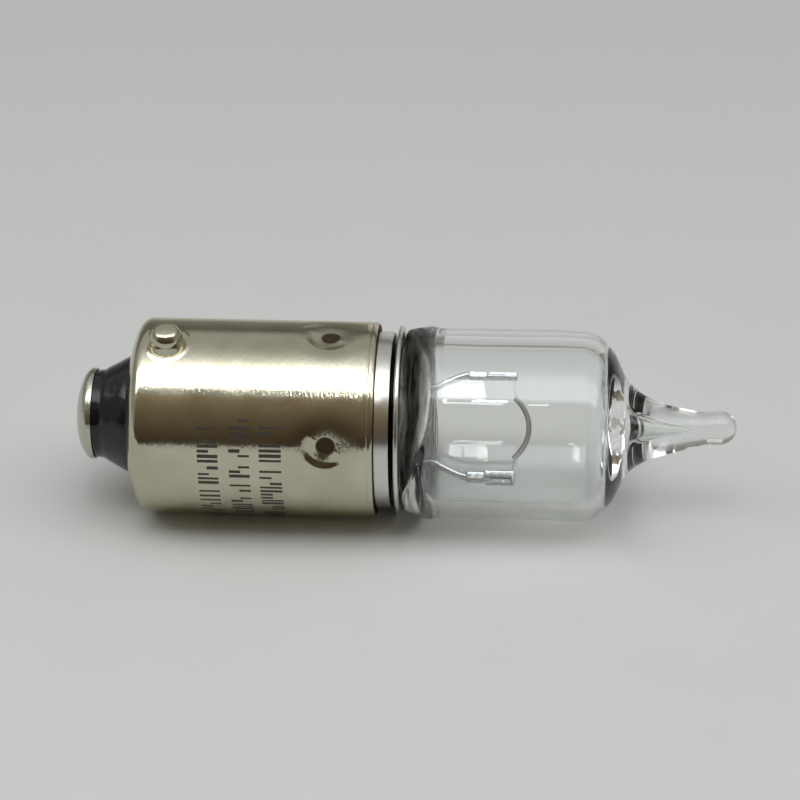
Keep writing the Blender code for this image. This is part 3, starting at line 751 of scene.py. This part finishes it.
def bar(x_range, heights, depths, side, crumple=0.0):
    """A squeezed bar along the lamp axis: rounded rectangles between two heights from the axis and two
    depths across the mount plane, drawn in at both ends, with small waves of a given size on its faces."""
    (x0, x1), (low, high), (front, back) = x_range, heights, depths
    x = np.array([0, 0.012, 0.035, *np.linspace(0.1, 0.9, 13), 0.965, 0.988, 1]) * (x1 - x0) + x0
    near_end = np.minimum(x - x0, x1 - x)
    full = np.clip(0.72 + 0.28 * np.sqrt(np.clip(near_end / 0.05, 0, 1)), 0, 1)[:, None]
    a = np.arange(0, 360, 7.5)
    halves = ((high - low) / 2, (back - front) / 2)
    radius = squared(a, halves, CLAMP_SQUARENESS)[None, :] * full
    radius = radius * (1 + crumple * np.sin(x[:, None] * 17 + np.radians(a * 2)[None, :]))
    a = np.radians(a)[None, :]
    height, depth = (high + low) / 2 + radius * np.cos(a), (front + back) / 2 + radius * np.sin(a)
    rings = np.stack([x[:, None] + 0 * a, side * height + MOUNT_SHIFT, side * depth], -1)
    hubs = np.array([[v, side * (high + low) / 2 + MOUNT_SHIFT, side * (front + back) / 2] for v in (x0, x1)])
    return skin(in_mount_frame(rings), *in_mount_frame(hubs))


CLAMP_SIZES = {"upper": (0.2, 0.15, 0.28, 0.02), "lower": (0.25, 0.32, 0.22, 0.0)}
for side_name, side in SIDES.items():
    block, hook, half_depth, drop = CLAMP_SIZES[side_name]
    middle = CLAMP_OFFSET - drop
    depths = (-half_depth, half_depth)
    skins = [
        bar((clamp_start, CLAMP_WAIST), (middle - block, middle + block), (-0.2, 0.2), side, 0.03),
        bar((CLAMP_WAIST - 0.03, clamp_end), (middle - hook, middle + 0.02), depths, side, 0.03),
        bar((CLAMP_WAIST + 0.05, clamp_end - 0.02), (middle - 0.05, middle + hook), (0.02, half_depth), side,
            0.04),
        bar((clamp_end - 0.2, clamp_end), (middle - hook, middle + max(hook, block)), depths, side),
    ]
    piece(f"clamp_{side_name}", skins, moly, [f"filament_clamp_{side_name}"])


# Filament: tungsten wire wound into a tight coil, bowed towards the tip, with a straight leg at each
# end that runs into its clamp.
COIL_APEX = 16.8
BOW_RADIUS = 1.9
BOW_HALF_ANGLE = 51.0
COIL_SHIFT = -0.1
COIL_RADIUS = 0.105
COIL_TURNS = 46
TUNGSTEN_RADIUS = 0.026
POINTS_PER_TURN = 16
LEG_X = clamp_end - 0.12


def tungsten():
    """Recrystallised tungsten: grey and matt, with a little sheen along each turn."""
    material, shader, place = new_material("coiled tungsten", {"Metallic": 1.0})
    spots = noise(material, place, 0.3, 3.0)
    colour = blended(material, spots, linear("#939392"), linear("#bfbfbd"))
    dress(material, shader, colour, ranged(material, spots, (0.25, 0.4)))
    return material


turns = np.arange(COIL_TURNS * POINTS_PER_TURN + 1) / POINTS_PER_TURN
bow = np.radians(BOW_HALF_ANGLE * (1 - 2 * turns / COIL_TURNS))
reach = BOW_RADIUS + COIL_RADIUS * np.cos(2 * np.pi * turns)
coil = in_mount_frame(np.stack([
    COIL_APEX - BOW_RADIUS + reach * np.cos(bow), COIL_SHIFT + MOUNT_SHIFT + reach * np.sin(bow),
    COIL_RADIUS * np.sin(2 * np.pi * turns),
], 1))
bow_direction = in_mount_frame(np.stack([np.sin(bow), -np.cos(bow), 0 * bow], 1))
tungsten_wire = tungsten()
skins = [wire(coil, TUNGSTEN_RADIUS, bow_direction, sides=8)]
for side, coil_end in ((1, coil[0]), (-1, coil[-1])):
    hooked = in_mount_frame((LEG_X, side * (CLAMP_OFFSET - 0.2) + MOUNT_SHIFT, 0.0))
    bend = in_mount_frame((LEG_X + 0.02, side * (CLAMP_OFFSET - 0.6) + MOUNT_SHIFT, 0.0))
    skins.append(wire(flowing([hooked, bend, coil_end], 6), TUNGSTEN_RADIUS, (1, 0, 0), sides=8))
piece("coil", skins, tungsten_wire, ["filament"], crease=60)


# Marking: three rows of plain printed strokes round the shell, in thin dark ink. They stand where a
# maker's print would be and spell nothing.
INK_HEIGHT = 0.006
INK_ROOT = 0.03
MARK_ROWS = (
    (shell_rim - 8.05, 0.95, 157, 3), (shell_rim - 6.6, 0.95, 152, 5), (shell_rim - 5.2, 1.02, 156, 8),
)
STROKE_STEPS = (3.1, 4.4, 7.2)
STROKE_WIDTHS = (0.11, 0.14, 0.17)
STROKE_SPANS = ((0.0, 1.0), (0.0, 0.55), (0.45, 1.0))
MARK_TURN = 108


def print_ink():
    """Pad-printed ink: near black with thin spots where the metal shows through, and a dull skin."""
    material, shader, place = new_material("printed ink", {"Roughness": 0.55})
    thin = noise(material, place, 0.12, 3.0)
    dress(material, shader, blended(material, thin, linear("#1d1a17"), linear("#4b453d")))
    return material


def stroke(x_range, angle, width):
    """A thin raised patch on the shell: a box between two places along it and two angles round it."""
    turn = np.degrees(width / 2 / shell_radius)
    heights = (shell_radius - INK_ROOT, shell_radius + INK_HEIGHT)
    corners = [turned([(x, r) for r in heights], (angle - turn, angle + turn)).reshape(4, 3) for x in x_range]
    rings = np.stack(corners)[:, [0, 1, 3, 2]]
    return skin(rings, rings[0].mean(0), rings[1].mean(0))


strokes = []
for start_x, row_height, first_angle, seed in MARK_ROWS:
    chance = np.random.default_rng(seed)
    angle = first_angle
    while angle < first_angle + MARK_TURN:
        low, high = STROKE_SPANS[chance.choice(3, p=(0.6, 0.2, 0.2))]
        x_range = (start_x + low * row_height, start_x + high * row_height)
        strokes.append(stroke(x_range, angle, STROKE_WIDTHS[chance.choice(3)]))
        angle += STROKE_STEPS[chance.choice(3, p=(0.5, 0.3, 0.2))]
piece("marking", strokes, print_ink(), [])


# Floor: a plain pale sheet that the lamp lies on. It falls away a little in front, curves up far
# behind, and isn't part of the lamp.
FLOOR_HALF_WIDTH = 700
FLOOR_CREST = -68
FLOOR_FALL = np.tan(np.radians(7))
CREST_ROUND = 3
FLOOR_SWEEP = (260, 640)


def stage_mesh(name, grid, material):
    """A sheet over a grid of points, for the stage."""
    m, n = grid.shape[:2]
    index = np.arange(m * n).reshape(m, n)
    faces = np.stack([index[:-1, :-1], index[:-1, 1:], index[1:, 1:], index[1:, :-1]], -1).reshape(-1, 4)
    made = shaped(name, grid.reshape(-1, 3), faces.tolist(), material)
    return made


def floor_paper():
    """Matt pale grey paper with a very faint mottle, painted a little darker towards the back as
    painted shade where the light falls off.
    """
    material, shader, place = new_material("pale floor", {"Roughness": 0.9})
    near = blended(material, noise(material, place, 6, 3.0), linear("#c2c4c3"), linear("#c7c9c8"))
    depth = add(material, "ShaderNodeSeparateXYZ", {0: place}).outputs["Y"]
    # Painted shade: the floor's colour darkens towards the back where the light falls off.
    back = ranged(material, depth, start=(-20 * MM, 60 * MM))
    dress(material, shader, blended(material, back, near, linear("#babcba")))
    return material


def glow(name, low, high):
    """A glowing card whose strengths of red, green and blue run from low to high with the point
    attribute rise."""
    material = bpy.data.materials.new(name)
    material.use_nodes = True
    nodes = material.node_tree.nodes
    nodes.remove(nodes["Principled BSDF"])
    colour = blended(material, marked(material, "rise"), (*low, 1), (*high, 1))
    emission = add(material, "ShaderNodeEmission", {"Color": colour})
    material.node_tree.links.new(emission.outputs[0], nodes["Material Output"].inputs["Surface"])
    return material


across = np.linspace(-FLOOR_HALF_WIDTH, FLOOR_HALF_WIDTH, 30)
deep = np.concatenate([
    np.linspace(-430, -95, 20), np.linspace(-90, -50, 50), np.linspace(-40, FLOOR_SWEEP[0], 30),
    FLOOR_SWEEP[0] + np.linspace(10, 380, 60),
])
front_fall = FLOOR_FALL * CREST_ROUND * np.logaddexp(0, (FLOOR_CREST - deep) / CREST_ROUND)
sweep_radius = FLOOR_SWEEP[1] - FLOOR_SWEEP[0]
past_sweep = np.clip(deep - FLOOR_SWEEP[0], 0, None)
back_rise = sweep_radius - np.sqrt(np.clip(sweep_radius**2 - past_sweep**2, 0, None))
floor_z = back_rise - front_fall - shell_radius
grid = np.stack(np.broadcast_arrays(across[None, :], deep[:, None], floor_z[:, None]), -1)
stage_mesh("floor", grid, floor_paper())


# Light cards: a wide soft light overhead that fades out towards the back, a dim brown wall far in front
# and a small pale card far behind. They only light the lamp and show in its shine.
SOFTBOX_X = (-450, 450)
SOFTBOX_Y = (-165, 0, 420)
SOFTBOX_Z = 300
SOFTBOX_FADE = 50
WALL_X = (-800, 800)
WALL_Y = -430
WALL_Z = (-56, 600)
BACK_CARD_X = (0, 90)
BACK_CARD_Y = 185
BACK_CARD_Z = (-4, 75)
CARD_POINTS = 12


def card(name, x_range, first, second, rise, low, high):
    """A glowing sheet between two level edges over the same x, each at its own (y, z). The points stand on
    evenly spaced lines between the edges, and rise gives each line's glow between low and high."""
    u = np.linspace(0, 1, CARD_POINTS)[None, :, None]
    v = np.linspace(0, 1, len(rise))[:, None, None]
    (a, b), (c, d) = (np.array([(x, *edge) for x in x_range], float) for edge in (first, second))
    grid = (1 - v) * ((1 - u) * a + u * b) + v * ((1 - u) * c + u * d)
    made = stage_mesh(name, grid, glow(name, low, high))
    glows = np.repeat(rise, CARD_POINTS)
    made.data.attributes.new("rise", "FLOAT", "POINT").data.foreach_set("value", glows)


softbox_y = np.linspace(SOFTBOX_Y[0], SOFTBOX_Y[2], 60)
softbox_rise = np.exp(-np.clip(softbox_y - SOFTBOX_Y[1], 0, None) / SOFTBOX_FADE)
card("overhead_softbox", SOFTBOX_X, (SOFTBOX_Y[0], SOFTBOX_Z), (SOFTBOX_Y[2], SOFTBOX_Z), softbox_rise,
     (0.46, 0.46, 0.45), (2.5, 2.53, 2.57))
card("front_wall", WALL_X, (WALL_Y, WALL_Z[0]), (WALL_Y, WALL_Z[1]), np.linspace(0, 1, 12),
     (0.035, 0.022, 0.012), (0.33, 0.27, 0.18))
card("back_card", BACK_CARD_X, (BACK_CARD_Y, BACK_CARD_Z[0]), (BACK_CARD_Y, BACK_CARD_Z[1]),
     np.linspace(1, 0, 6), (0.4, 0.4, 0.39), (0.68, 0.68, 0.67))

world = bpy.data.worlds.new("studio")
world.use_nodes = True
world.node_tree.nodes["Background"].inputs["Color"].default_value = (0.325, 0.33, 0.31, 1.0)
bpy.context.scene.world = world


# Small lamps: two small bright lamps, one in front and one overhead, which only draw the sharp lines
# and sparks in the glass.
def small_lamp(name, size, power, place):
    """A rectangular lamp at a place in mm, with its two sizes in mm, turned to face the lamp's middle."""
    data = bpy.data.lights.new(name, "AREA")
    data.shape = "RECTANGLE"
    data.size, data.size_y = size[0] * MM, size[1] * MM
    data.energy = power
    made = bpy.data.objects.new(name, data)
    made.location = Vector(place) * MM
    made.rotation_euler = (np.arctan2(-place[1], place[2]), 0, 0)
    bpy.context.scene.collection.objects.link(made)


small_lamp("front_lamp", (10, 20), 0.031, (2, -267, 423))
small_lamp("overhead_lamp", (15, 112), 0.034, (0.2, -82, 285))


# Camera: a long lens that looks down on the lamp at 30 degrees and almost square to its length, rolled
# by half a degree.
AZIMUTH, ELEVATION, ROLL = np.radians((3.68, 30.0, -0.57))
DISTANCE = 132.1
AIM_X = shell_rim + 1.01
AIM_RISE = 0.94
backward = np.array([
    np.sin(AZIMUTH) * np.cos(ELEVATION), -np.cos(AZIMUTH) * np.cos(ELEVATION), np.sin(ELEVATION),
])
level = np.array([np.cos(AZIMUTH), np.sin(AZIMUTH), 0.0])
upward = np.cross(backward, level)
right_axis = np.cos(ROLL) * level + np.sin(ROLL) * upward
up_axis = -np.sin(ROLL) * level + np.cos(ROLL) * upward
camera_data = bpy.data.cameras.new("camera")
camera_data.lens = 126
camera_data.sensor_width = 36
camera_data.clip_start = 0.005
camera_data.clip_end = 10
camera = bpy.data.objects.new("camera", camera_data)
place = (np.array([AIM_X, 0, 0]) + DISTANCE * backward + AIM_RISE * up_axis) * MM
camera.matrix_world = Matrix.Translation(place.tolist()) @ Matrix(
    np.stack([right_axis, up_axis, backward], 1).tolist()).to_4x4()
bpy.context.scene.collection.objects.link(camera)
bpy.context.scene.camera = camera
bpy.context.scene.view_settings.view_transform = "Standard"
bpy.context.scene.cycles.blur_glossy = 0.0
